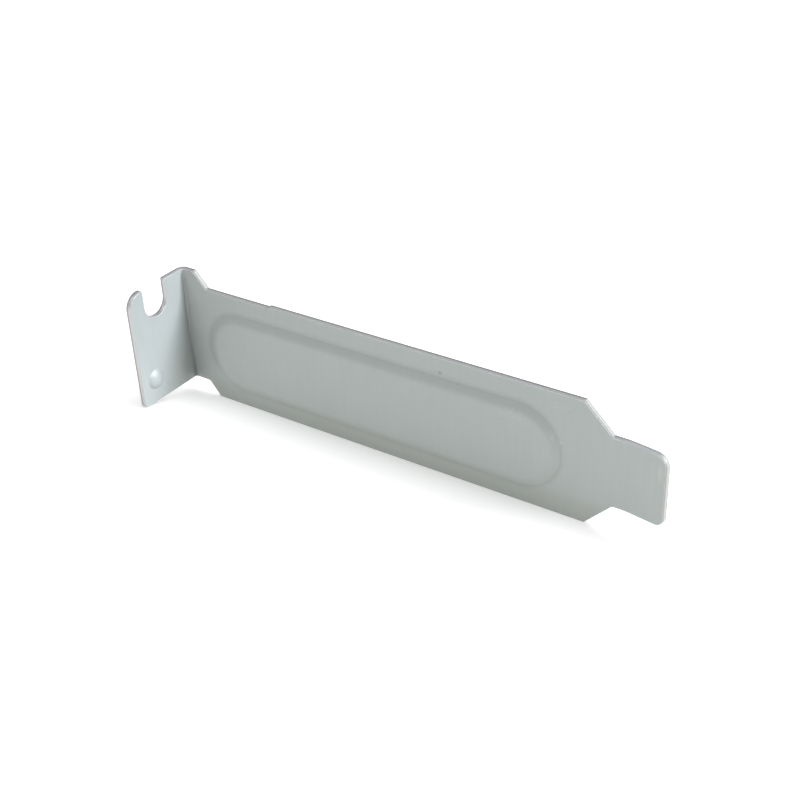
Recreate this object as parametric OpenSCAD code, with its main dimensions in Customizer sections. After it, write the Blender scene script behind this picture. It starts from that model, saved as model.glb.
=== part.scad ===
// Blanking bracket for an expansion slot, low-profile height.
// One piece of thin plated sheet steel: a long panel with a stiffening emboss,
// a narrow tongue at one end and a tab folded square to it at the other.
// It is drawn as it lies at rest on a table: on the panel's long lower edge and
// the lower free corner of the tab, leaning a little to the tab's side. +X runs
// along the panel towards the tongue, +Z is up, and the origin is on the table
// under the middle of the part's box.

/* [Sheet] */
// thickness of the sheet
sheet_t = 0.85; // [0.6:0.05:1.2]
// inside radius of the square fold between panel and tab
fold_r = 0.55; // [0.3:0.05:1.2]

/* [Panel] */
// overall length, from the outside of the tab to the end of the tongue
overall_l = 79.2; // [76:0.1:130]
// width of the panel
panel_w = 18.42; // [17.8:0.01:19.2]
// where the upper shoulder leaves the panel's edge
shoulder_top_x = 67.34; // [66.5:0.01:68]
// where the lower shoulder leaves the panel's edge
shoulder_low_x = 67.9; // [66.5:0.01:68]
// run of the upper shoulder along the panel
shoulder_top_run = 4.1; // [3.5:0.05:4.3]
// run of the lower shoulder along the panel
shoulder_low_run = 3.87; // [3.5:0.01:4.3]
// depth of the upper shoulder across the panel
shoulder_top_drop = 4.1; // [3.5:0.05:4.5]
// depth of the lower shoulder across the panel
shoulder_low_drop = 3.95; // [3.5:0.05:4.5]
// how much lower the upper edge is on the tab side of the die step
edge_step = 0.23; // [0.05:0.01:0.4]
// where the die step is along the upper edge
edge_step_x = 16.8; // [12:0.1:24]

/* [Emboss] */
// end of the emboss on the tab side, at its foot
emboss_x0 = 4.5; // [4:0.1:8]
// end of the emboss on the tongue side, at its foot
emboss_x1 = 64.9; // [56:0.1:66]
// middle of the emboss across the panel
emboss_z = 9.15; // [8.9:0.05:9.5]
// half width of the emboss at its foot
emboss_r = 6.85; // [5:0.05:7.2]
// how far the emboss stands out on the tab side
emboss_h = 0.7; // [0.3:0.05:0.9]
// width of its sloping wall, seen square on
emboss_wall = 1.75; // [1.2:0.05:2.2]

/* [Tongue] */
// where the tongue starts to bend
tongue_bend_x = 72.6; // [72.4:0.1:74]
// radius of that bend at mid sheet
tongue_bend_r = 13.5; // [8:0.5:16]
// angle of that bend, towards the tab side
tongue_bend_deg = 8.625; // [2:0.125:12]
// radius of the tongue's upper corner
tongue_top_r = 1.75; // [0.5:0.05:2.2]
// radius of the tongue's lower corner
tongue_low_r = 1.2; // [0.5:0.05:2.2]

/* [Tab] */
// reach of the tab, from the panel's face to its free edge
tab_reach = 11.24; // [10.6:0.01:12.4]
// width of the tab
tab_w = 18.36; // [17.6:0.01:19]
// how far the tab's lower edge is above the panel's
tab_rise = 2.33; // [1.8:0.01:2.8]
// radius of the tab's upper free corner
tab_top_r = 2.4; // [0.8:0.1:2.5]
// radius of the tab's lower free corner
tab_low_r = 0.6; // [0.3:0.05:1.5]
// where the upper neck chamfer starts, from the outside of the tab
neck_top_x0 = 2.87; // [2.3:0.01:3.4]
// where the upper neck chamfer meets the panel's edge
neck_top_x1 = 5.05; // [4.6:0.01:5.8]
// where the lower neck chamfer starts
neck_low_x0 = 3.56; // [2.3:0.01:3.8]
// where the lower neck chamfer meets the panel's edge
neck_low_x1 = 5.45; // [4.6:0.01:5.8]

/* [Screw notch] */
// distance of the notch's middle from the panel's face
notch_y = 6.13; // [5.7:0.01:6.4]
// radius of the notch's round end
notch_r = 2.3; // [1.9:0.05:2.4]
// depth from the tab's upper edge to the middle of the round end
notch_depth = 2.735; // [2:0.005:3.5]
// radius of the notch's mouth corners
notch_mouth_r = 0.25; // [0.1:0.05:0.3]

/* [Dimple] */
// distance of the dimple from the panel's face
dimple_y = 8.4; // [7.6:0.05:8.8]
// height of the dimple above the panel's lower edge
dimple_z = 6.05; // [5.6:0.05:7]
// radius of the dimple at its foot
dimple_r = 1.5; // [1:0.05:1.8]
// height of the dimple
dimple_h = 0.6; // [0.3:0.05:0.7]

/* [Hidden] */
$fn = 96;

tab_top = tab_rise + tab_w;                 // the tab's upper edge
tab_free = -tab_reach;                      // the tab's free edge
over = 1;                                   // how far cutters run past a face

// the tab's lower free corner and the panel's lower edge touch the table
foot_y = tab_reach - tab_low_r;
foot_z = tab_rise + tab_low_r;
lean = atan2(foot_z, foot_y) - asin(tab_low_r / norm([foot_y, foot_z]));

// the box across the part once it leans
box_back = sheet_t * cos(lean);
box_front = (tab_free + tab_top_r) * cos(lean)
          - (tab_top - tab_top_r) * sin(lean) - tab_top_r;

tongue_lo = shoulder_low_drop;
tongue_hi = panel_w - shoulder_top_drop;
tongue_l = (overall_l - tongue_bend_x
          - (tongue_bend_r + sheet_t / 2) * sin(tongue_bend_deg))
          / cos(tongue_bend_deg);

// the dimple is part of a ball, and the punch leaves the same sheet thickness
ball_r = (dimple_r * dimple_r + dimple_h * dimple_h) / (2 * dimple_h);
ball_x = sheet_t + dimple_h - ball_r;

// Waste outside a rounded corner of a plate that lies across X.
// ys and zs say to which side the corner points.
module tab_corner(y, z, r, ys, zs)
    translate([-over, y, z])
        mirror([0, ys < 0 ? 1 : 0, 0]) mirror([0, 0, zs < 0 ? 1 : 0])
            difference() {
                cube([sheet_t + 2 * over, r + over, r + over]);
                rotate([0, 90, 0]) translate([0, 0, -over])
                    cylinder(r = r, h = sheet_t + 4 * over);
            }

// The same for a plate that lies across Y.
module tongue_corner(x, z, r, zs)
    translate([x, -over, z])
        mirror([0, 0, zs < 0 ? 1 : 0])
            difference() {
                cube([r + over, sheet_t + 2 * over, r + over]);
                rotate([-90, 0, 0]) translate([0, 0, -over])
                    cylinder(r = r, h = sheet_t + 4 * over);
            }

// Flat part of the tab, with its rounded free corners, notch and dimple.
module tab_plate() {
    difference() {
        union() {
            translate([0, tab_free, tab_rise])
                cube([sheet_t, tab_reach - fold_r, tab_w]);
            intersection() {
                translate([ball_x, -dimple_y, dimple_z]) rotate([0, 0, 180]) sphere(r = ball_r);
                translate([sheet_t / 4, -dimple_y - 2 * ball_r, dimple_z - 2 * ball_r])
                    cube([2 * ball_r, 4 * ball_r, 4 * ball_r]);
            }
        }
        // the hollow that the punch leaves on the outside
        translate([ball_x, -dimple_y, dimple_z]) rotate([0, 0, 180])
            sphere(r = ball_r - sheet_t);
        // free corners
        tab_corner(tab_free + tab_top_r, tab_top - tab_top_r, tab_top_r, -1, 1);
        tab_corner(tab_free + tab_low_r, tab_rise + tab_low_r, tab_low_r, -1, -1);
        // screw notch, open at the upper edge
        translate([-over, -notch_y, tab_top - notch_depth]) rotate([0, 90, 0])
            cylinder(r = notch_r, h = sheet_t + 2 * over);
        translate([-over, -notch_y - notch_r, tab_top - notch_depth])
            cube([sheet_t + 2 * over, 2 * notch_r, notch_depth + over]);
        // its mouth corners
        tab_corner(-notch_y - notch_r - notch_mouth_r, tab_top - notch_mouth_r,
                   notch_mouth_r, 1, 1);
        tab_corner(-notch_y + notch_r + notch_mouth_r, tab_top - notch_mouth_r,
                   notch_mouth_r, -1, 1);
    }
}

// The square fold between tab and panel.
module fold()
    translate([sheet_t + fold_r, -fold_r, tab_rise])
        rotate([0, 0, 90]) rotate_extrude(angle = 90)
            translate([fold_r, 0]) square([sheet_t, tab_w]);

// The emboss as a solid between two depths. y_ref is the face it rises from.
module emboss_solid(y_ref, y_lo, y_hi) {
    slope = emboss_wall / emboss_h;
    r_lo = emboss_r + (y_lo - y_ref) * slope;
    r_hi = emboss_r + (y_hi - y_ref) * slope;
    xa = emboss_x0 + emboss_r;
    xb = emboss_x1 - emboss_r;
    translate([xa, 0, emboss_z]) rotate([90, 0, 90])
        linear_extrude(height = xb - xa)
            polygon([[y_lo, -r_lo], [y_hi, -r_hi], [y_hi, r_hi], [y_lo, r_lo]]);
    // half cones close the two ends
    translate([xa, 0, emboss_z]) rotate([-90, 0, 0]) rotate([0, 0, 90])
        rotate_extrude(angle = 180)
            polygon([[0, y_lo], [r_lo, y_lo], [r_hi, y_hi], [0, y_hi]]);
    translate([xb, 0, emboss_z]) rotate([-90, 0, 0]) rotate([0, 0, -90])
        rotate_extrude(angle = 180)
            polygon([[0, y_lo], [r_lo, y_lo], [r_hi, y_hi], [0, y_hi]]);
}

// Flat part of the panel, from the fold to where the tongue bends.
module panel_plate() {
    step_lo = panel_w - edge_step;
    difference() {
        union() {
            translate([0, sheet_t, 0]) rotate([90, 0, 0])
                linear_extrude(height = sheet_t)
                    polygon([
                        [sheet_t + fold_r, tab_rise],
                        [neck_low_x0, tab_rise],
                        [neck_low_x1, 0],
                        [shoulder_low_x, 0],
                        [shoulder_low_x + shoulder_low_run, tongue_lo],
                        [tongue_bend_x, tongue_lo],
                        [tongue_bend_x, tongue_hi],
                        [shoulder_top_x + shoulder_top_run, tongue_hi],
                        [shoulder_top_x, panel_w],
                        [edge_step_x + 0.3, panel_w],
                        [edge_step_x - 0.3, step_lo],
                        [neck_top_x1, step_lo],
                        [neck_top_x0, tab_top],
                        [sheet_t + fold_r, tab_top]
                    ]);
            emboss_solid(0, -emboss_h, sheet_t / 4);
        }
        emboss_solid(sheet_t, sheet_t - emboss_h, sheet_t + 0.2);
    }
}

// The tongue: a gentle bend towards the tab side, then a flat end.
module tongue() {
    tongue_w = tongue_hi - tongue_lo;
    translate([tongue_bend_x, sheet_t / 2 - tongue_bend_r, tongue_lo]) {
        // a slightly longer arc, cut off square where the flat end begins
        difference() {
            mirror([1, 0, 0]) rotate([0, 0, 90])
                rotate_extrude(angle = tongue_bend_deg + 2, $fn = 360)
                    translate([tongue_bend_r - sheet_t / 2, 0])
                        square([sheet_t, tongue_w]);
            rotate([0, 0, -tongue_bend_deg]) translate([0, 0, -over])
                cube([tongue_bend_r, 2 * tongue_bend_r, tongue_w + 2 * over]);
        }
        rotate([0, 0, -tongue_bend_deg])
            translate([0, tongue_bend_r - sheet_t / 2, 0])
                difference() {
                    cube([tongue_l, sheet_t, tongue_w]);
                    tongue_corner(tongue_l - tongue_top_r, tongue_w - tongue_top_r,
                                  tongue_top_r, 1);
                    tongue_corner(tongue_l - tongue_low_r, tongue_low_r,
                                  tongue_low_r, -1);
                }
    }
}

// The whole folded sheet, laid down as it rests.
module slot_cover()
    color([0.70, 0.73, 0.72])
        translate([-overall_l / 2, -(box_back + box_front) / 2, 0])
            rotate([lean, 0, 0])
                union() {
                    tab_plate();
                    fold();
                    panel_plate();
                    tongue();
                }

slot_cover();
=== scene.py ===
import math

import bpy
import numpy as np
from mathutils import Matrix, Vector, geometry


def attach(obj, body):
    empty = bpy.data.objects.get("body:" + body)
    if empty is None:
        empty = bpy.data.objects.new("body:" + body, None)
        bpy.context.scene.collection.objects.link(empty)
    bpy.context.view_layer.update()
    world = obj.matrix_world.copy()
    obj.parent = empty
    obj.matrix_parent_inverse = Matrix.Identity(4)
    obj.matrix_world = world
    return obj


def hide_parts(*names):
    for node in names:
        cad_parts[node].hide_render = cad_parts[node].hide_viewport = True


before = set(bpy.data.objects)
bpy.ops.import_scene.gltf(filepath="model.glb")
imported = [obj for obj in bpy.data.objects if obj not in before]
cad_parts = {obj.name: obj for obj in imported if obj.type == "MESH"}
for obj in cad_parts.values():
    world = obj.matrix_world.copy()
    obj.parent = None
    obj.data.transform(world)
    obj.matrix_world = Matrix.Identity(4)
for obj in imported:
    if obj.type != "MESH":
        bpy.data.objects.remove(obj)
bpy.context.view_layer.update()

MM = 0.001

# ---------------------------------------------------------------------------
# Dimensions of the sheet, mm. u runs along the unfolded sheet, equal to x on
# the flat panel; z runs across it; n is the depth through it, from -T/2 on the
# tab's inner side (side A) to +T/2 on the back (side B).
# ---------------------------------------------------------------------------
T = 0.85
FOLD_R = 0.28
L_ALL, PANEL_W = 79.2, 18.42
REACH, TAB_W, RISE = 11.24, 18.36, 2.33
TAB_TOP = RISE + TAB_W
NOTCH_Y, NOTCH_R, NOTCH_D, MOUTH_R = 6.13, 2.3, 2.735, 0.25
BEND_X, BEND_R, BEND = 72.6, 13.5, math.radians(8.625)
TONGUE_LO, TONGUE_HI = 3.95, 14.32
EMB_X0, EMB_X1, EMB_Z, EMB_R, EMB_H, EMB_W = 4.5, 64.9, 9.15, 6.85, 0.7, 1.75
DIMPLE_Y, DIMPLE_Z, DIMPLE_R, DIMPLE_H = 8.4, 6.05, 1.5, 0.6
CREASE_R, CREASE_D = 6.40, 0.014

RM = FOLD_R + T / 2                   # fold radius at mid sheet
U_FOLD1 = T + FOLD_R                  # where the fold meets the panel
U_FOLD0 = U_FOLD1 - RM * math.pi / 2  # where it meets the tab
U_FREE = U_FOLD0 - (REACH - FOLD_R)   # the tab's free edge
U_BEND2 = BEND_X + BEND_R * BEND      # where the tongue's flat end starts
U_TIP = U_BEND2 + (L_ALL - BEND_X - (BEND_R + T / 2) * math.sin(BEND)) / math.cos(BEND)
U_NOTCH = U_FOLD0 - (NOTCH_Y - FOLD_R)
U_DIMPLE = U_FOLD0 - (DIMPLE_Y - FOLD_R)

# how the part lies at rest: the panel's lower edge and the tab's lower corner
TAB_LOW_R, TAB_TOP_R = 0.6, 2.4
FOOT = (REACH - TAB_LOW_R, RISE + TAB_LOW_R)
LEAN = math.atan2(FOOT[1], FOOT[0]) - math.asin(TAB_LOW_R / math.hypot(*FOOT))
CL, SL = math.cos(LEAN), math.sin(LEAN)
BOX_BACK = T * CL
BOX_FRONT = (-REACH + TAB_TOP_R) * CL - (TAB_TOP - TAB_TOP_R) * SL - TAB_TOP_R
OFF = np.array([-L_ALL / 2, -(BOX_BACK + BOX_FRONT) / 2, 0.0])
TILT = np.array([[1, 0, 0], [0, CL, -SL], [0, SL, CL]])


def to_row(p):
    """Points of the sheet's own frame, mm, to the row frame, metres."""
    return (np.asarray(p, float) @ TILT.T + OFF) * MM


# ---------------------------------------------------------------------------
# The blank's outline, counter-clockwise, as corners with a radius each
# ---------------------------------------------------------------------------
STEP_LO = PANEL_W - 0.23
NZ = TAB_TOP - NOTCH_D
CORNERS = [
    (U_FREE, RISE, TAB_LOW_R),
    (3.56, RISE, 0.75),
    (5.45, 0.0, 0.30),
    (67.90, 0.0, 0.28),
    (71.77, TONGUE_LO, 0.55),
    (U_TIP, TONGUE_LO, 1.2),
    (U_TIP, TONGUE_HI, 1.75),
    (71.44, TONGUE_HI, 0.35),
    (67.34, PANEL_W, 0.28),
    (17.10, PANEL_W, 0.25),
    (16.50, STEP_LO, 0.25),
    (5.05, STEP_LO, 0.45),
    (2.87, TAB_TOP, 0.45),
    (U_NOTCH + NOTCH_R, TAB_TOP, MOUTH_R),
    (U_NOTCH + NOTCH_R, NZ, 0.0),
    "notch",
    (U_NOTCH - NOTCH_R, NZ, 0.0),
    (U_NOTCH - NOTCH_R, TAB_TOP, MOUTH_R),
    (U_FREE, TAB_TOP, TAB_TOP_R),
]


def build_outline():
    """Closed outline: points and exact outward normals, both (k, 2)."""
    real = [c for c in CORNERS if c != "notch"]
    pts, nrm = [], []

    def emit(p, n):
        pts.append(p)
        nrm.append(n)

    count = len(real)
    k = 0
    for c in CORNERS:
        if c == "notch":
            # half round, from the right wall down and up to the left wall
            for a in np.linspace(0, -math.pi, 41)[1:-1]:
                emit((U_NOTCH + NOTCH_R * math.cos(a), NZ + NOTCH_R * math.sin(a)),
                     (-math.cos(a), -math.sin(a)))
            continue
        p = np.array(c[:2], float)
        a = np.array(real[(k - 1) % count][:2], float)
        b = np.array(real[(k + 1) % count][:2], float)
        k += 1
        if c[2] == 0.0:
            side = 1 if c[0] > U_NOTCH else -1
            emit(tuple(p), (-side, 0.0))
            continue
        d0, d1 = (p - a) / np.linalg.norm(p - a), (b - p) / np.linalg.norm(b - p)
        turn = math.atan2(d0[0] * d1[1] - d0[1] * d1[0], d0 @ d1)
        s = 1.0 if turn > 0 else -1.0
        r = c[2]
        back = r * math.tan(abs(turn) / 2)
        left = np.array([-d0[1], d0[0]]) * s
        centre = p - d0 * back + left * r
        steps = max(4, int(math.ceil(abs(turn) / math.radians(7))))
        for i in range(steps + 1):
            t = turn * i / steps
            v = -left                       # from the centre to the start of the arc
            w = np.array([v[0] * math.cos(t) - v[1] * math.sin(t),
                          v[0] * math.sin(t) + v[1] * math.cos(t)])
            emit(tuple(centre + r * w), tuple(w * s))
    pts, nrm = np.array(pts), np.array(nrm)
    # fill the straights; finer where the sheet folds
    out_p, out_n = [], []
    for i in range(len(pts)):
        p, q = pts[i], pts[(i + 1) % len(pts)]
        n, m = nrm[i], nrm[(i + 1) % len(pts)]
        out_p.append(p)
        out_n.append(n)
        length = np.linalg.norm(q - p)
        if length > 0.5:
            stops = [0.0]
            pos = 0.0
            d = (q - p) / length
            while True:
                u = p[0] + d[0] * pos
                fine = abs(d[0]) > 0.9 and (U_FOLD0 - 0.15 < u < U_FOLD1 + 0.15)
                bend = abs(d[0]) > 0.9 and (BEND_X - 0.3 < u < U_BEND2 + 0.3)
                pos += 0.1 if fine else (0.2 if bend else 0.4)
                if pos > length - 0.08:
                    break
                stops.append(pos)
            for sp in stops[1:]:
                out_p.append(p + d * sp)
                f = sp / length
                out_n.append((1 - f) * n + f * m if np.dot(n, m) > 0.99 else n)
    out_p, out_n = np.array(out_p), np.array(out_n)
    out_n /= np.linalg.norm(out_n, axis=1)[:, None]
    return out_p, out_n


# ---------------------------------------------------------------------------
# Pressed forms: how far each side stands towards side A, mm
# ---------------------------------------------------------------------------
def ramp(x, f):
    """max(x, 0), rounded over +-f, and its slope."""
    y = np.where(x > f, x, np.where(x < -f, 0.0, (x + f) ** 2 / (4 * f)))
    s = np.where(x > f, 1.0, np.where(x < -f, 0.0, (x + f) / (2 * f)))
    return y, s


def emboss(u, z, side):
    """Depth of the emboss and its slopes in u and z."""
    xa, xb = EMB_X0 + EMB_R, EMB_X1 - EMB_R
    cu = np.clip(u, xa, xb)
    du, dz = u - cu, z - EMB_Z
    r = np.maximum(np.hypot(du, dz), 1e-9)
    f_top, f_foot = (0.62, 0.30) if side == "A" else (0.35, 0.60)
    a, sa = ramp(r - (EMB_R - EMB_W), f_top)
    b, sb = ramp(r - EMB_R, f_foot)
    slope = EMB_H / EMB_W
    e = EMB_H - slope * (a - b)
    s = -slope * (sa - sb)
    if side == "A":                       # the punch leaves a fine line near the foot
        q = (r - CREASE_R) / 0.15
        g = CREASE_D * np.exp(-q * q)
        e = e - g
        s = s + g * 2 * q / 0.15
    return e, s * du / r, s * dz / r


def dimple(u, z, side):
    du, dz = u - U_DIMPLE, z - DIMPLE_Z
    r = np.maximum(np.hypot(du, dz), 1e-9)
    ball = (DIMPLE_R ** 2 + DIMPLE_H ** 2) / (2 * DIMPLE_H)
    if side == "B":
        ball -= T
    low = ball - DIMPLE_H
    rc = np.minimum(r, ball * 0.93)
    g = np.sqrt(ball ** 2 - rc ** 2)
    c = g - low - np.maximum(r - ball * 0.93, 0) * 2.5
    dc = np.where(r < ball * 0.93, -rc / g, -2.5)
    k = 0.07
    q = np.sqrt(c * c + k * k)
    e = 0.5 * (c + q)
    s = 0.5 * (1 + c / q) * dc
    w = np.clip((2.6 - r) / 0.9, 0, 1)
    win = w * w * (3 - 2 * w)
    dwin = np.where((w > 0) & (w < 1), 6 * w * (1 - w) * (-1 / 0.9), 0.0)
    s = s * win + e * dwin
    e = e * win
    return e, s * du / r, s * dz / r


def pressed(u, z, side):
    e = np.zeros_like(u)
    eu = np.zeros_like(u)
    ez = np.zeros_like(u)
    m = u > 2.0
    a, b, c = emboss(u[m], z[m], side)
    e[m], eu[m], ez[m] = a, b, c
    m = u < U_FOLD0 - 1.0
    a, b, c = dimple(u[m], z[m], side)
    e[m], eu[m], ez[m] = a, b, c
    return e, eu, ez


# ---------------------------------------------------------------------------
# Folding: (u, z, n) to the sheet's own frame, with the local directions
# ---------------------------------------------------------------------------
def folded(u, z, n):
    u, z, n = (np.asarray(v, float) for v in (u, z, n))
    x, y = u.copy(), T / 2 + n
    eu = np.stack([np.ones_like(u), np.zeros_like(u)], 1)
    en = np.stack([np.zeros_like(u), np.ones_like(u)], 1)
    stretch = np.ones_like(u)
    m = (u < U_FOLD1) & (u >= U_FOLD0)
    phi = (U_FOLD1 - u[m]) / RM
    rho = RM + n[m]
    x[m], y[m] = U_FOLD1 - rho * np.sin(phi), -FOLD_R + rho * np.cos(phi)
    eu[m] = np.stack([np.cos(phi), np.sin(phi)], 1)
    en[m] = np.stack([-np.sin(phi), np.cos(phi)], 1)
    stretch[m] = rho / RM
    m = u < U_FOLD0
    x[m], y[m] = T / 2 - n[m], -FOLD_R - (U_FOLD0 - u[m])
    eu[m], en[m] = (0.0, 1.0), (-1.0, 0.0)
    m = u > BEND_X
    t = np.minimum(u[m] - BEND_X, BEND_R * BEND) / BEND_R
    over = np.maximum(u[m] - U_BEND2, 0.0)
    rho = BEND_R + n[m]
    x[m] = BEND_X + rho * np.sin(t) + over * np.cos(t)
    y[m] = T / 2 - BEND_R + rho * np.cos(t) - over * np.sin(t)
    eu[m] = np.stack([np.cos(t), -np.sin(t)], 1)
    en[m] = np.stack([np.sin(t), np.cos(t)], 1)
    pos = np.stack([x, y, z], 1)
    zero = np.zeros((len(u), 1))
    return pos, np.hstack([eu, zero]), np.hstack([en, zero]), stretch


# ---------------------------------------------------------------------------
# Points over the blank, densest where the sheet is formed
# ---------------------------------------------------------------------------
def interior_points(ring, ring_n):
    groups = []
    # rings round the emboss
    xa, xb = EMB_X0 + EMB_R, EMB_X1 - EMB_R
    radii = list(np.arange(4.30, 5.80, 0.11)) + list(np.arange(5.80, 6.05, 0.10)) \
        + list(np.arange(6.05, 6.75, 0.07)) + list(np.arange(6.75, 7.35, 0.10))
    for i, r in enumerate(radii):
        p = []
        straight = np.arange(xa, xb - 0.2, 0.55) + (0.27 if i % 2 else 0.0)
        p += [(x, EMB_Z + r) for x in straight] + [(x, EMB_Z - r) for x in straight]
        steps = int(math.pi * r / 0.34)
        for k in range(steps + 1):
            a = math.pi * (k + (0.5 if i % 2 else 0.0)) / steps
            p.append((xb + r * math.sin(a), EMB_Z + r * math.cos(a)))
            p.append((xa - r * math.sin(a), EMB_Z + r * math.cos(a)))
        groups.append((np.array(p), 0.05))
    # rings round the dimple
    p = [(U_DIMPLE, DIMPLE_Z)]
    for r in np.arange(0.12, 2.6, 0.12):
        steps = max(6, int(2 * math.pi * r / 0.17))
        for k in range(steps):
            a = 2 * math.pi * (k + 0.5 * (int(r / 0.12) % 2)) / steps
            p.append((U_DIMPLE + r * math.cos(a), DIMPLE_Z + r * math.sin(a)))
    groups.append((np.array(p), 0.06))
    # the fold and the tongue's bend
    p = [(u, z) for i, u in enumerate(np.linspace(U_FOLD0 - 0.1, U_FOLD1 + 0.1, 20))
         for z in np.arange(RISE + 0.3 + 0.2 * (i % 2), TAB_TOP - 0.2, 0.4)]
    groups.append((np.array(p), 0.07))
    p = [(u, z) for i, u in enumerate(np.linspace(BEND_X - 0.2, U_BEND2 + 0.2, 14))
         for z in np.arange(TONGUE_LO + 0.3 + 0.25 * (i % 2), TONGUE_HI - 0.2, 0.5)]
    groups.append((np.array(p), 0.12))
    # an even grid for the rest
    p = []
    for j, z in enumerate(np.arange(0.3, 20.6, 0.62)):
        for u in np.arange(U_FREE + 0.3, U_TIP - 0.2, 0.72):
            p.append((u + (0.36 if j % 2 else 0.0), z))
    groups.append((np.array(p), 0.42))

    # inside the ring, and clear of it
    def inside(q):
        hit = np.zeros(len(q), bool)
        a, b = ring, np.roll(ring, -1, 0)
        for (ax, ay), (bx, by) in zip(a, b):
            c = ((ay > q[:, 1]) != (by > q[:, 1]))
            if c.any():
                x = ax + (q[:, 1] - ay) * (bx - ax) / (by - ay if by != ay else 1e-12)
                hit ^= c & (q[:, 0] < x)
        return hit

    cell = 0.5
    table = {}

    def near(pt, d):
        cx, cy = int(math.floor(pt[0] / cell)), int(math.floor(pt[1] / cell))
        for i in (-1, 0, 1):
            for j in (-1, 0, 1):
                for o in table.get((cx + i, cy + j), ()):
                    if (o[0] - pt[0]) ** 2 + (o[1] - pt[1]) ** 2 < d * d:
                        return True
        return False

    def put(pt):
        key = (int(math.floor(pt[0] / cell)), int(math.floor(pt[1] / cell)))
        table.setdefault(key, []).append(pt)

    for q in ring:
        put(tuple(q))
    kept = []
    for pts, d in groups:
        pts = pts[inside(pts)]
        for q in map(tuple, pts):
            if not near(q, d):
                put(q)
                kept.append(q)
    return np.array(kept)


def build_sheet():
    line, line_n = build_outline()
    inset0 = 0.15
    ring = line - inset0 * line_n
    inner = interior_points(ring, line_n)
    flat = np.vstack([ring, inner])
    nr = len(ring)
    out = geometry.delaunay_2d_cdt([Vector((float(a), float(b))) for a, b in flat],
                                   [(i, (i + 1) % nr) for i in range(nr)],
                                   [], 1, 1e-6)
    vs, tris = out[0], [f for f in out[2] if len(f) == 3]
    if len(vs) != len(flat):
        raise SystemExit("the triangulation changed the points: %d %d" % (len(vs), len(flat)))
    u, z = flat[:, 0].copy(), flat[:, 1].copy()
    tris = np.array(tris)
    area = np.cross(flat[tris[:, 1]] - flat[tris[:, 0]], flat[tris[:, 2]] - flat[tris[:, 0]])
    tris[area < 0] = tris[area < 0][:, ::-1]
    tris = tris[np.abs(area) > 1e-9]

    verts, norms, sheet, edge = [], [], [], []
    faces = []

    def face_side(side):
        e, eu, ez = pressed(u, z, side)
        n0 = -T / 2 if side == "A" else T / 2
        pos, du, dn, st = folded(u, z, n0 - e)
        nn = dn + (eu / st)[:, None] * du + np.outer(ez, (0, 0, 1))
        nn /= np.linalg.norm(nn, axis=1)[:, None]
        return pos, (-nn if side == "A" else nn)

    pa, na = face_side("A")
    pb, nb = face_side("B")
    count = len(u)
    verts += [pa, pb]
    norms += [na, nb]
    sheet += [np.stack([u, z, np.zeros(count)], 1), np.stack([u, z, np.ones(count)], 1)]
    e0 = np.zeros(count)
    edge += [e0, e0]
    # side A faces -n: in (u, z) its triangles turn as they are, seen from -n
    for a, b, c in tris:
        faces.append((int(a), int(b), int(c)))
        faces.append((int(c) + count, int(b) + count, int(a) + count))

    # the cut edge, from side A to side B
    ra, rb = 0.115, 0.075
    prof = []
    prof.append((ra, 0.0, 0.0))
    for a in np.linspace(0, 90, 7)[1:]:
        t = math.radians(a)
        prof.append((ra * (1 - math.sin(t)), ra * (1 - math.cos(t)), t))
    for d in (0.30, 0.48, 0.64):
        prof.append((0.0, d, math.pi / 2))
    for a in np.linspace(90, 0, 6):
        t = math.radians(a)
        prof.append((rb * (1 - math.sin(t)), T - rb * (1 - math.cos(t)), math.pi - t))
    start = 2 * count
    rings = []
    lu = line[:, 0]
    along = np.concatenate([[0], np.cumsum(np.linalg.norm(np.diff(line, axis=0), axis=1))])
    for inset, depth, t in prof:
        q = line - inset * line_n
        pos, du, dn, st = folded(q[:, 0], q[:, 1], np.full(nr, -T / 2 + depth))
        outw = line_n[:, :1] * du + line_n[:, 1:] * np.array([[0, 0, 1.0]])
        nn = math.sin(t) * outw - math.cos(t) * dn
        verts.append(pos)
        norms.append(nn / np.linalg.norm(nn, axis=1)[:, None])
        sheet.append(np.stack([q[:, 0], q[:, 1], np.full(nr, depth / T)], 1))
        edge.append(np.full(nr, math.sin(t) ** 0.5 if math.sin(t) > 1e-6 else 0.0))
        rings.append(start)
        start += nr
    first, last = 0, count      # ring vertices lead the two faces' lists
    chain = [first] + rings + [last]
    for r0, r1 in zip(chain[:-1], chain[1:]):
        for i in range(nr):
            j = (i + 1) % nr
            faces.append((r0 + j, r0 + i, r1 + i, r1 + j))
    return (np.vstack(verts), np.vstack(norms), np.vstack(sheet), np.concatenate(edge), faces)


V, N, S, E, F = build_sheet()
mesh = bpy.data.meshes.new("bracket_sheet")
mesh.from_pydata([tuple(p) for p in to_row(V)], [], F)
mesh.validate()
mesh.update()
mesh.polygons.foreach_set("use_smooth", [True] * len(mesh.polygons))
normals = N @ TILT.T
mesh.normals_split_custom_set_from_vertices([tuple(v) for v in normals])
at = mesh.attributes.new("sheet", "FLOAT_VECTOR", "POINT")
at.data.foreach_set("vector", S.astype(np.float32).ravel())
at = mesh.attributes.new("cut_edge", "FLOAT", "POINT")
at.data.foreach_set("value", E.astype(np.float32))
sheet_obj = bpy.data.objects.new("bracket_sheet", mesh)
bpy.context.scene.collection.objects.link(sheet_obj)
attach(sheet_obj, "root")
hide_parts("slot_cover")


# ---------------------------------------------------------------------------
# Materials
# ---------------------------------------------------------------------------
def make_material(name):
    m = bpy.data.materials.new(name)
    m.use_nodes = True
    m.node_tree.nodes.clear()
    return m, m.node_tree


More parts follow.
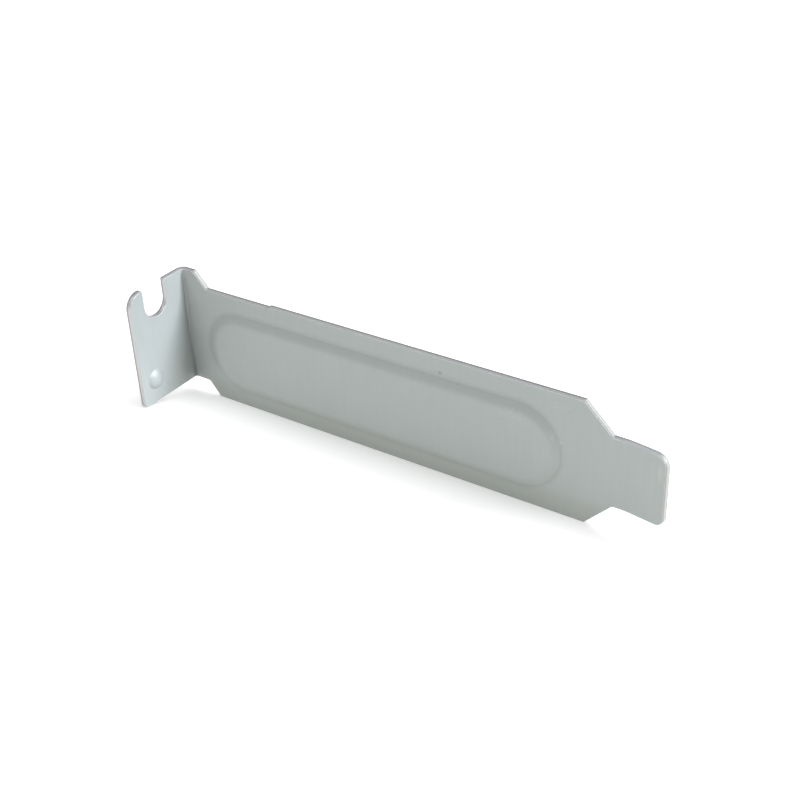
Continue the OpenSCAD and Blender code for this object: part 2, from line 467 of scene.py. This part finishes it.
class Tree:
    """Short names for the shader nodes used below."""

    def __init__(self, nt):
        self.nt, self.nd = nt, nt.nodes

    def put(self, socket, v):
        if hasattr(v, "links"):
            self.nt.links.new(v, socket)
        else:
            socket.default_value = v

    def math(self, op, a, b=None, c=None, clamp=False):
        n = self.nd.new("ShaderNodeMath")
        n.operation, n.use_clamp = op, clamp
        for i, v in enumerate((a, b, c)):
            if v is not None:
                self.put(n.inputs[i], v)
        return n.outputs[0]

    def mix(self, f, a, b, blend="MIX"):
        n = self.nd.new("ShaderNodeMix")
        n.data_type, n.blend_type = "RGBA", blend
        self.put(n.inputs[0], f)
        self.put(n.inputs[6], a)
        self.put(n.inputs[7], b)
        return n.outputs[2]

    def mixf(self, f, a, b):
        n = self.nd.new("ShaderNodeMix")
        self.put(n.inputs[0], f)
        self.put(n.inputs[2], a)
        self.put(n.inputs[3], b)
        return n.outputs[0]

    def span(self, v, lo, hi, to_lo=0.0, to_hi=1.0, smooth=True):
        n = self.nd.new("ShaderNodeMapRange")
        n.interpolation_type = "SMOOTHSTEP" if smooth else "LINEAR"
        for i, x in enumerate((v, lo, hi, to_lo, to_hi)):
            self.put(n.inputs[i], x)
        return n.outputs[0]

    def scaled(self, vec, s, move=(0, 0, 0)):
        n = self.nd.new("ShaderNodeVectorMath")
        n.operation = "MULTIPLY_ADD"
        self.put(n.inputs[0], vec)
        n.inputs[1].default_value = s
        n.inputs[2].default_value = move
        return n.outputs[0]

    def noise(self, vec, scale=1.0, detail=2.0, rough=0.5):
        n = self.nd.new("ShaderNodeTexNoise")
        self.put(n.inputs["Vector"], vec)
        n.inputs["Scale"].default_value = scale
        n.inputs["Detail"].default_value = detail
        n.inputs["Roughness"].default_value = rough
        return n.outputs["Fac"]

    def cells(self, vec, scale=1.0):
        n = self.nd.new("ShaderNodeTexVoronoi")
        self.put(n.inputs["Vector"], vec)
        n.inputs["Scale"].default_value = scale
        return n.outputs["Distance"], n.outputs["Color"]


steel, nt = make_material("bracket_steel")
t = Tree(nt)
nd, lk = nt.nodes, nt.links
outn = nd.new("ShaderNodeOutputMaterial")
bsdf = nd.new("ShaderNodeBsdfPrincipled")
lk.new(bsdf.outputs[0], outn.inputs[0])

sheet = nd.new("ShaderNodeAttribute")
sheet.attribute_name = "sheet"
cut = nd.new("ShaderNodeAttribute")
cut.attribute_name = "cut_edge"
at = sheet.outputs["Vector"]                 # u mm, z mm, 0..1 through the sheet
sep = nd.new("ShaderNodeSeparateXYZ")
lk.new(at, sep.inputs[0])
us, zs, depth = sep.outputs
edge = cut.outputs["Fac"]

# mill grain runs across the strip, so it stands upright on the panel
grain = t.noise(t.scaled(at, (4.2, 0.16, 9.0)), 1.0, 3.0, 0.62)
broad = t.noise(t.scaled(at, (1.1, 0.10, 5.0), (7.3, 0.0, 2.0)), 1.0, 2.0, 0.5)
cloud = t.noise(t.scaled(at, (0.16, 0.22, 3.0), (3.1, 1.7, 0.4)), 1.0, 3.0, 0.55)
fine = t.noise(t.scaled(at, (13.0, 11.0, 17.0)), 1.0, 2.0, 0.6)
# sparse pits and bright specks in the plating
pit_d, pit_c = t.cells(t.scaled(at, (0.42, 0.42, 5.0), (0.37, 0.81, 0.0)))
csep = nd.new("ShaderNodeSeparateColor")
lk.new(pit_c, csep.inputs[0])
pit_on = t.span(csep.outputs[0], 0.80, 0.84)
pit = t.math("MULTIPLY", pit_on, t.span(pit_d, 0.05, 0.025))
spk_d, spk_c = t.cells(t.scaled(at, (0.55, 0.60, 5.0), (4.9, 2.3, 0.0)))
csep2 = nd.new("ShaderNodeSeparateColor")
lk.new(spk_c, csep2.inputs[0])
spk_on = t.span(csep2.outputs[1], 0.74, 0.80)
spk = t.math("MULTIPLY", spk_on, t.span(spk_d, 0.14, 0.03))


def mark(u0, z0, side, ru, rz):
    """A soft spot at one place on one side: 1 in its middle."""
    a = t.math("DIVIDE", t.math("SUBTRACT", us, u0), ru)
    b = t.math("DIVIDE", t.math("SUBTRACT", zs, z0), rz)
    r = t.math("SQRT", t.math("ADD", t.math("MULTIPLY", a, a), t.math("MULTIPLY", b, b)))
    s = t.math("LESS_THAN", depth, 0.5) if side == "A" else t.math("GREATER_THAN", depth, 0.5)
    return t.math("MULTIPLY", t.span(r, 1.0, 0.3), s)


spots = None
for one in (mark(46.1, 16.2, "A", 0.42, 0.36), mark(56.9, 14.4, "B", 0.3, 0.3)):
    spots = one if spots is None else t.math("MAXIMUM", spots, one)
# fine scuffs in three patches near the right end
dust = t.noise(t.scaled(at, (3.1, 3.4, 9.0), (5.0, 1.0, 0.0)), 1.0, 3.0, 0.6)
glints = None
for one in (mark(57.6, 13.6, "A", 2.6, 1.5), mark(63.7, 16.6, "A", 1.9, 1.0),
            mark(63.2, 12.4, "A", 1.0, 1.3)):
    glints = one if glints is None else t.math("MAXIMUM", glints, one)
glints = t.math("MULTIPLY", glints, t.span(dust, 0.52, 0.64, 0.0, 1.5))
for one in (mark(63.2, 11.8, "A", 0.42, 0.50), mark(64.3, 11.3, "A", 0.50, 0.32)):
    glints = t.math("MAXIMUM", glints, one)

# colour: grey plate, greener where the plating is thicker
tone = t.mix(cloud, (0.395, 0.424, 0.411, 1), (0.417, 0.440, 0.429, 1))
tone = t.mix(t.span(grain, 0.30, 0.72), tone, (1.025, 1.025, 1.025, 1), "MULTIPLY")
tone = t.mix(t.span(broad, 0.35, 0.65), tone, (0.982, 0.985, 0.982, 1), "MULTIPLY")
streak = t.math("MULTIPLY", t.span(t.noise(t.scaled(at, (1.7, 0.06, 5.0), (2.1, 0.4, 0.0)), 1.0, 2.0, 0.6), 0.40, 0.66), t.span(us, 58.0, 68.0, 0.25, 1.0))
tone = t.mix(streak, tone, (0.979, 0.981, 0.978, 1), "MULTIPLY")
worn = mark(U_TIP - 0.85, TONGUE_HI - 2.5, "A", 0.42, 1.7)
tone = t.mix(t.math("MULTIPLY", worn, 0.10), tone, (0.80, 0.82, 0.82, 1))
tone = t.mix(t.math("MULTIPLY", t.math("MAXIMUM", t.math("MULTIPLY", pit, 0.5), spots), 0.42), tone, (0.16, 0.16, 0.15, 1))
tone = t.mix(t.math("MULTIPLY", t.math("MAXIMUM", t.math("MULTIPLY", spk, 0.6), glints), 0.09), tone, (0.75, 0.78, 0.78, 1))
# the lower strip, below the emboss, is painted slightly darker and yellower: painted shade for the shadowed
# floor that it faces
painted_low_strip_shade = t.math("MULTIPLY", t.span(zs, 3.9, 2.5), t.span(us, 2.0, 5.0))
tone = t.mix(painted_low_strip_shade, tone, (0.955, 0.945, 0.920, 1), "MULTIPLY")
# painted shade where the sheet is creased: a faint line round the emboss, the dimple's lower rim and inside
# the fold
ru = t.math("SUBTRACT", us, t.math("MINIMUM", t.math("MAXIMUM", us, EMB_X0 + EMB_R), EMB_X1 - EMB_R))
rz = t.math("SUBTRACT", zs, EMB_Z)
rr = t.math("SQRT", t.math("ADD", t.math("MULTIPLY", ru, ru), t.math("MULTIPLY", rz, rz)))
# painted shade: a faint dark line along the crease round the emboss
line = t.span(t.math("ABSOLUTE", t.math("SUBTRACT", rr, CREASE_R)), 0.24, 0.04)
inner = t.math("LESS_THAN", depth, 0.5)
# painted shade: the emboss's upper wall, which faces upwards, is painted darker
upper_wall_shade = t.math("MULTIPLY", t.span(rr, 4.85, 5.35), t.span(rr, 6.5, 6.15))
upper_wall_shade = t.math("MULTIPLY", t.math("MULTIPLY", upper_wall_shade, t.span(rz, -1.0, 4.5)), inner)
tone = t.mix(upper_wall_shade, tone, (0.935, 0.938, 0.940, 1), "MULTIPLY")
fold_u = (U_FOLD0 + U_FOLD1) / 2
# painted shade inside the fold, deeper towards the bottom
fold_shade_mask = t.math("MULTIPLY", t.span(us, fold_u - 1.15, fold_u - 0.10), t.span(us, fold_u + 0.62, fold_u + 0.22))
low = t.span(zs, 17.0, 2.5, 0.22, 0.92)
du = t.math("SUBTRACT", us, U_DIMPLE)
dz = t.math("SUBTRACT", zs, DIMPLE_Z)
dr = t.math("SQRT", t.math("ADD", t.math("MULTIPLY", du, du), t.math("MULTIPLY", dz, dz)))
# painted shade on the dimple's rim, darker towards its lower side
dimple_rim_shade = t.math("MULTIPLY", t.span(t.math("ABSOLUTE", t.math("SUBTRACT", dr, DIMPLE_R - 0.10)), 0.36, 0.08), t.span(dz, 1.4, -1.2, 0.0, 0.26))
line = t.math("MAXIMUM", t.math("MULTIPLY", line, 0.13), dimple_rim_shade)
crease_fold_shade = t.math("MULTIPLY", inner, t.math("MAXIMUM", line, t.math("MULTIPLY", fold_shade_mask, low)))
tone = t.mix(crease_fold_shade, tone, (0.20, 0.21, 0.20, 1))
# the sheared edge: a smooth burnished band, then the torn, darker one
torn = t.span(depth, 0.50, 0.76)
cut_tone = t.mix(torn, (0.570, 0.578, 0.580, 1), (0.36, 0.36, 0.36, 1))
# painted shade: the cut edges that face upwards, along the top and round the notch, are painted darker
geo = nd.new("ShaderNodeNewGeometry")
face = nd.new("ShaderNodeVectorMath")
face.operation = "DOT_PRODUCT"
lk.new(geo.outputs["Normal"], face.inputs[0])
face.inputs[1].default_value = (-0.45, 0.0, 0.893)
up_facing_edge_shade = t.math("MULTIPLY", t.span(face.outputs["Value"], 0.34, 0.60), t.span(us, 75.0, 70.5, 0.25, 1.0))
clean = t.span(us, U_FOLD0, U_FOLD1, 0.03, 0.21)
edge_shade_mix = t.mixf(torn, t.math("MULTIPLY", up_facing_edge_shade, clean), t.math("MULTIPLY", up_facing_edge_shade, 0.68))
cut_tone = t.mix(edge_shade_mix, cut_tone, (0.135, 0.122, 0.108, 1))
# and the edges facing +x, towards the key light (the punched ends), get a darker matt tone: painted shade.
# On side A they are rolled over, so that the face's tone runs into them
fsep = nd.new("ShaderNodeSeparateXYZ")
lk.new(geo.outputs["Normal"], fsep.inputs[0])
key_facing_edge = t.span(fsep.outputs[0], 0.25, 0.60)
roll = t.math("MULTIPLY", t.span(depth, 0.42, 0.26), t.span(us, U_FOLD0, U_FOLD1))
key_facing_edge_tone = t.mix(t.span(depth, 0.70, 0.86), (0.430, 0.414, 0.386, 1), (0.290, 0.280, 0.264, 1))
key_facing_edge_tone = t.mix(roll, key_facing_edge_tone, (0.238, 0.242, 0.224, 1))
cut_tone = t.mix(t.math("MULTIPLY", key_facing_edge, 0.9), cut_tone, key_facing_edge_tone)
tone = t.mix(edge, tone, cut_tone)
lk.new(tone, bsdf.inputs["Base Color"])

rough = t.math("ADD", t.mixf(cloud, 0.53, 0.60), t.math("MULTIPLY", t.math("SUBTRACT", grain, 0.5), 0.10))
rough = t.math("SUBTRACT", rough, t.math("MULTIPLY", t.math("MAXIMUM", spk, glints), 0.06))
rough = t.math("ADD", rough, t.math("MULTIPLY", pit, 0.2))
cut_rough = t.math("ADD", t.mixf(torn, 0.45, 0.62), t.math("MULTIPLY", t.math("SUBTRACT", fine, 0.5), 0.12))
lk.new(t.mixf(edge, rough, cut_rough), bsdf.inputs["Roughness"])
cut_metal = t.mixf(key_facing_edge, t.mixf(torn, 0.62, 0.35), 0.30)
lk.new(t.mixf(edge, 0.30, cut_metal), bsdf.inputs["Metallic"])
bsdf.inputs["Specular IOR Level"].default_value = 0.35

# relief: grain and a fine tooth; the torn band is coarser
tear = t.noise(t.scaled(at, (2.6, 2.6, 14.0), (0.3, 5.1, 0.0)), 1.0, 3.0, 0.65)
height = t.math("ADD", t.math("MULTIPLY", grain, 0.55), t.math("MULTIPLY", fine, 0.25))
height = t.math("SUBTRACT", height, t.math("MULTIPLY", pit, 0.8))
height = t.mixf(edge, height, t.math("MULTIPLY", tear, t.mixf(torn, 0.5, 2.2)))
bump = nd.new("ShaderNodeBump")
bump.inputs["Strength"].default_value = 1.0
bump.inputs["Distance"].default_value = 0.000009
lk.new(height, bump.inputs["Height"])
lk.new(bump.outputs[0], bsdf.inputs["Normal"])
mesh.materials.append(steel)

# ---------------------------------------------------------------------------
# Floor, light and camera
# ---------------------------------------------------------------------------
fm = bpy.data.meshes.new("floor")
s = 3.0
fm.from_pydata([(-s, -s, 0), (s, -s, 0), (s, s, 0), (-s, s, 0)], [], [(0, 1, 2, 3)])
floor = bpy.data.objects.new("floor", fm)
bpy.context.scene.collection.objects.link(floor)
# a white table top, lit a little from below
white, nt = make_material("floor_white")
outn = nt.nodes.new("ShaderNodeOutputMaterial")
dif = nt.nodes.new("ShaderNodeBsdfDiffuse")
dif.inputs["Color"].default_value = (0.9, 0.9, 0.9, 1)
glow = nt.nodes.new("ShaderNodeEmission")
glow.inputs["Color"].default_value = (1.0, 1.0, 1.0, 1)
# painted light: the floor glows brighter round the tongue's end, so its shadow doesn't show
ft = Tree(white.node_tree)
where = ft.nd.new("ShaderNodeNewGeometry")
off = ft.nd.new("ShaderNodeVectorMath")
off.operation = "DISTANCE"
white.node_tree.links.new(where.outputs["Position"], off.inputs[0])
off.inputs[1].default_value = (0.034, -0.0095, 0.0)
painted_light_pool = ft.span(off.outputs["Value"], 0.023, 0.009, 0.42, 0.57)
far = ft.span(off.outputs["Value"], 0.5, 1.8, 0.0, 0.65)
white.node_tree.links.new(ft.math("ADD", painted_light_pool, far), glow.inputs["Strength"])
both = nt.nodes.new("ShaderNodeAddShader")
nt.links.new(dif.outputs[0], both.inputs[0])
nt.links.new(glow.outputs[0], both.inputs[1])
nt.links.new(both.outputs[0], outn.inputs[0])
fm.materials.append(white)

# a white backdrop far off, which only the camera sees: it lights nothing
bm = bpy.data.meshes.new("backdrop")
turn, rise = 64, 12
ring = [(2.75 * math.cos(math.radians(e)) * math.cos(2 * math.pi * a / turn),
         2.75 * math.cos(math.radians(e)) * math.sin(2 * math.pi * a / turn),
         2.75 * math.sin(math.radians(e)) - 0.01)
        for e in np.linspace(0, 75, rise) for a in range(turn)]
quads = [(r * turn + a, r * turn + (a + 1) % turn, (r + 1) * turn + (a + 1) % turn, (r + 1) * turn + a)
         for r in range(rise - 1) for a in range(turn)]
bm.from_pydata(ring, [], quads)
backdrop = bpy.data.objects.new("backdrop", bm)
bpy.context.scene.collection.objects.link(backdrop)
backdrop.visible_diffuse = False
backdrop.visible_glossy = False
backdrop.visible_transmission = False
backdrop.visible_volume_scatter = False
backdrop.visible_shadow = False
paper, nt = make_material("backdrop_paper")
outn = nt.nodes.new("ShaderNodeOutputMaterial")
lit = nt.nodes.new("ShaderNodeEmission")
lit.inputs["Strength"].default_value = 1.05
nt.links.new(lit.outputs[0], outn.inputs[0])
bm.materials.append(paper)

world = bpy.data.worlds.new("studio")
bpy.context.scene.world = world
world.use_nodes = True
bg = world.node_tree.nodes["Background"]
bg.inputs["Color"].default_value = (1, 1, 1, 1)
bg.inputs["Strength"].default_value = 0.12


def softbox(name, azimuth, elevation, far, wide, high, radiance, tint, lights, round_=False):
    """An area light aimed at the bracket; sizes in metres, radiance as the world's strength."""
    light = bpy.data.lights.new(name, "AREA")
    light.shape = "ELLIPSE" if round_ else "RECTANGLE"
    light.size, light.size_y = wide, high
    area = wide * high * (math.pi / 4 if round_ else 1.0)
    light.energy = radiance * math.pi * area
    light.color = tint
    ob = bpy.data.objects.new(name, light)
    bpy.context.scene.collection.objects.link(ob)
    a, e = math.radians(azimuth), math.radians(elevation)
    d = Vector((math.cos(e) * math.cos(a), math.cos(e) * math.sin(a), math.sin(e)))
    ob.location = d * far + Vector((0, 0, 0.01))
    ob.rotation_euler = d.to_track_quat("Z", "Y").to_euler()
    ob.light_linking.receiver_collection = lights
    return ob


# the table has its own even light, so the bracket's lights leave no hard shadow on it
on_bracket = bpy.data.collections.new("on_bracket")
on_bracket.objects.link(sheet_obj)
on_table = bpy.data.collections.new("on_table")
on_table.objects.link(floor)
softbox("key", 6, 34, 2.0, 0.56, 0.85, 45.0, (0.880, 0.922, 1.0), on_bracket)
softbox("fill", 245, 45, 2.0, 1.2, 1.2, 4.05, (0.948, 0.990, 0.985), on_bracket, True)
softbox("front", 273, 30, 2.0, 1.2, 1.2, 1.2, (0.948, 0.990, 0.985), on_bracket, True)
softbox("back", 118, 24, 2.0, 2.2, 2.2, 0.75, (0.97, 1.0, 1.0), on_bracket, True)
softbox("table", 0, 60, 2.0, 2.4, 2.4, 1.30, (1.0, 1.0, 0.99), on_table, True)
softbox("table_back", 90, 76, 2.0, 2.2, 2.2, 2.25, (1.0, 1.0, 0.99), on_table, True)

# the camera, from its place in the sheet's own frame
ROT = (2.0566998800434404, 0.6082202721295658, -0.39482574538196336)
TR = np.array([-32.1313478559293, -2.0146073779901434, 204.86426553713457])
FOCAL = 1309.6076428953986
ang = math.sqrt(sum(a * a for a in ROT))
kx, ky, kz = (a / ang for a in ROT)
K = np.array([[0, -kz, ky], [kz, 0, -kx], [-ky, kx, 0]])
R = np.eye(3) + math.sin(ang) * K + (1 - math.cos(ang)) * (K @ K)
centre = -R.T @ TR
axes = np.stack([R[0], -R[1], -R[2]])      # right, up, back
axes = axes @ TILT.T
cam_data = bpy.data.cameras.new("camera")
cam = bpy.data.objects.new("camera", cam_data)
bpy.context.scene.collection.objects.link(cam)
cm = Matrix.Identity(4)
place = to_row(centre)
for i in range(3):
    for j in range(3):
        cm[j][i] = axes[i][j]
    cm[i][3] = place[i]
cam.matrix_world = cm
cam_data.sensor_width = 36.0
cam_data.sensor_fit = "HORIZONTAL"
cam_data.lens = 36.0 * FOCAL / 800.0
cam_data.clip_start, cam_data.clip_end = 0.005, 20.0
bpy.context.scene.camera = cam

view = bpy.context.scene.view_settings
view.view_transform = "Standard"
view.look = "None"
view.exposure = 0.0
view.gamma = 1.0
